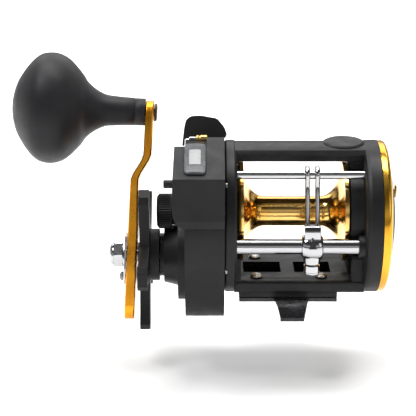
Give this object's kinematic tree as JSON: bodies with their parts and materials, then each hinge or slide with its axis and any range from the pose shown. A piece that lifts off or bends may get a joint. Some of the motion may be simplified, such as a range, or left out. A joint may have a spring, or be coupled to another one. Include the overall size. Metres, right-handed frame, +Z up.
{
  "type": "trolling reel",
  "caption": "Level-wind trolling reel with a star drag, a line counter on the handle side, a gold spool and a long handle with a round power knob.",
  "frame": {"origin": "middle of the reel foot's flat sole, under the spool's middle", "axes": "+X along the spool axis to the palm side, -Y to the rod tip, +Z up from the rod"},
  "size_m": [0.1926, 0.0884, 0.1359],
  "materials": {
    "frame_black": "satin moulded graphite composite",
    "housing_black": "fine satin moulded plastic",
    "foot_grey": "dark satin coating",
    "screw_steel": "turned",
    "inner_steel": "machined",
    "lens_grey": "smoked clear lens",
    "chrome_parts": "polished",
    "gold_trim": "gold anodised",
    "gold_spool": "polished gold anodised",
    "gear_brass": "machined",
    "drag_fibre": "woven fibre",
    "dark_metal": "dark satin",
    "knob_rubber": "matte",
    "drag_black": "matte",
    "gear_plastic": "natural acetal",
    "wheel_white": "satin"
  },
  "bodies": {
    "chassis": {"frame": "frame_black", "reel_foot": "foot_grey", "foot_screw_1": "screw_steel", "foot_screw_2": "screw_steel", "foot_screw_3": "screw_steel", "foot_screw_4": "screw_steel", "gear_side_case": "frame_black", "case_screw_1": "screw_steel", "case_screw_2": "screw_steel", "bridge_plate": "inner_steel", "handle_bearing": "inner_steel", "counter_housing": "housing_black", "counter_lens": "lens_grey", "spool_bearing_left": "inner_steel", "spool_bearing_right": "inner_steel", "guide_bar": "chrome_parts", "worm_tube": "chrome_parts", "trim_ring": "gold_trim", "palm_cover": "housing_black"},
    "crank": {"handle_shaft": "inner_steel", "anti_reverse_ratchet": "inner_steel", "main_gear": "gear_brass", "drag_washer_inner": "drag_fibre", "drag_pressure_plate": "inner_steel", "drag_washer_outer": "drag_fibre", "drag_spring_washer": "inner_steel", "spacer_collar": "dark_metal", "handle_arm": "gold_trim", "nut_lock_plate": "chrome_parts", "handle_nut": "chrome_parts", "lock_screw": "screw_steel", "knob_spindle": "dark_metal"},
    "knob": {"handle_knob": "knob_rubber"},
    "star": {"star_drag": "drag_black"},
    "spool": {"spool": "gold_spool", "spool_shaft": "inner_steel", "spool_gear": "gear_brass", "spool_counter_gear": "gear_brass"},
    "lever": {"free_spool_lever": "housing_black"},
    "clutch": {"clutch_yoke": "inner_steel"},
    "pinion": {"pinion": "gear_brass"},
    "cast_control": {"cast_control_cap": "drag_black"},
    "dog": {"anti_reverse_dog": "inner_steel"},
    "levelwind_idler": {"levelwind_idler_gear": "gear_plastic"},
    "worm": {"worm_shaft": "inner_steel", "worm_gear": "gear_plastic"},
    "line_guide": {"line_guide": "chrome_parts", "pawl": "inner_steel", "pawl_cap": "chrome_parts"},
    "counter_idler": {"counter_idler_gear": "gear_brass"},
    "counter_drive": {"counter_drive_gear": "gear_brass"},
    "counter_units": {"digit_wheel_units": "wheel_white", "counter_shaft": "inner_steel"},
    "counter_tens": {"digit_wheel_tens": "wheel_white"},
    "counter_hundreds": {"digit_wheel_hundreds": "wheel_white"},
    "reset": {"reset_button": "housing_black"},
    "clicker": {"clicker_button": "gear_brass", "clicker_tongue": "inner_steel"}
  },
  "joints": [
    {"name": "handle_turn", "type": "hinge", "parent": "chassis", "child": "crank", "pos_m": [-0.06, 0, 0.0237], "axis": [1, 0, 0], "continuous": true},
    {"name": "knob_spin", "type": "hinge", "parent": "crank", "child": "knob", "pos_m": [-0.07234, 0.01978, 0.09267], "axis": [0.999, -0.0125, -0.0436], "continuous": true},
    {"name": "star_turn", "type": "hinge", "parent": "crank", "child": "star", "pos_m": [-0.072, 0, 0.0237], "axis": [1, 0, 0], "range_deg": [-180, 180]},
    {"name": "spool_turn", "type": "hinge", "parent": "chassis", "child": "spool", "pos_m": [0, 0, 0.0465], "axis": [1, 0, 0], "continuous": true},
    {"name": "lever_tilt", "type": "hinge", "parent": "chassis", "child": "lever", "pos_m": [-0.047, 0.016, 0.0605], "axis": [1, 0, 0], "range_deg": [-25, 0]},
    {"name": "clutch_slide", "type": "slide", "parent": "chassis", "child": "clutch", "axis": [-1, 0, 0], "range_m": [-0.0001, 0.0023]},
    {"name": "pinion_turn", "type": "hinge", "parent": "clutch", "child": "pinion", "pos_m": [-0.041, 0, 0.0465], "axis": [1, 0, 0], "continuous": true},
    {"name": "cast_control_turn", "type": "hinge", "parent": "chassis", "child": "cast_control", "pos_m": [-0.062, 0, 0.0465], "axis": [1, 0, 0], "range_deg": [-180, 180]},
    {"name": "dog_tilt", "type": "hinge", "parent": "chassis", "child": "dog", "pos_m": [-0.037, 0.0142, 0.0218], "axis": [1, 0, 0], "range_deg": [-12, 0], "stiffness_Nm_per_rad": 0.01, "springref_deg": 2.86},
    {"name": "levelwind_idler_turn", "type": "hinge", "parent": "chassis", "child": "levelwind_idler", "pos_m": [0.039, -0.01289, 0.03923], "axis": [1, 0, 0], "continuous": true},
    {"name": "worm_turn", "type": "hinge", "parent": "chassis", "child": "worm", "pos_m": [0, -0.0283, 0.0368], "axis": [1, 0, 0], "continuous": true},
    {"name": "line_guide_slide", "type": "slide", "parent": "chassis", "child": "line_guide", "axis": [1, 0, 0], "range_m": [-0.03, 0.0145]},
    {"name": "counter_idler_turn", "type": "hinge", "parent": "chassis", "child": "counter_idler", "pos_m": [-0.037, -0.00801, 0.05883], "axis": [1, 0, 0], "continuous": true},
    {"name": "counter_drive_turn", "type": "hinge", "parent": "chassis", "child": "counter_drive", "pos_m": [-0.037, -0.01602, 0.07115], "axis": [1, 0, 0], "continuous": true},
    {"name": "counter_units_turn", "type": "hinge", "parent": "chassis", "child": "counter_units", "pos_m": [-0.0472, -0.03707, 0.06705], "axis": [0, 0.9056, 0.4241], "continuous": true},
    {"name": "counter_tens_turn", "type": "hinge", "parent": "chassis", "child": "counter_tens", "pos_m": [-0.0472, -0.03707, 0.06705], "axis": [0, 0.9056, 0.4241], "continuous": true},
    {"name": "counter_hundreds_turn", "type": "hinge", "parent": "chassis", "child": "counter_hundreds", "pos_m": [-0.0472, -0.03707, 0.06705], "axis": [0, 0.9056, 0.4241], "continuous": true},
    {"name": "reset_press", "type": "slide", "parent": "chassis", "child": "reset", "axis": [1, 0, 0], "range_m": [0, 0.0015], "stiffness_N_per_m": 150, "springref_m": -0.0005},
    {"name": "clicker_slide", "type": "slide", "parent": "chassis", "child": "clicker", "axis": [0, 0, -1], "range_m": [0, 0.003]}
  ],
  "couplings": [
    {"joint": "spool_turn", "follows": "handle_turn", "ratio": -4.1818},
    {"joint": "pinion_turn", "follows": "handle_turn", "ratio": -4.1818},
    {"joint": "levelwind_idler_turn", "follows": "handle_turn", "ratio": 1.7692},
    {"joint": "worm_turn", "follows": "handle_turn", "ratio": -3.5385},
    {"joint": "counter_idler_turn", "follows": "handle_turn", "ratio": 1.3563},
    {"joint": "counter_drive_turn", "follows": "handle_turn", "ratio": -4.1818},
    {"joint": "counter_units_turn", "follows": "handle_turn", "ratio": -0.17424},
    {"joint": "counter_tens_turn", "follows": "handle_turn", "ratio": -0.017424},
    {"joint": "counter_hundreds_turn", "follows": "handle_turn", "ratio": -0.0017424},
    {"joint": "clutch_slide", "follows": "lever_tilt", "m_per_rad": -0.005042}
  ]
}
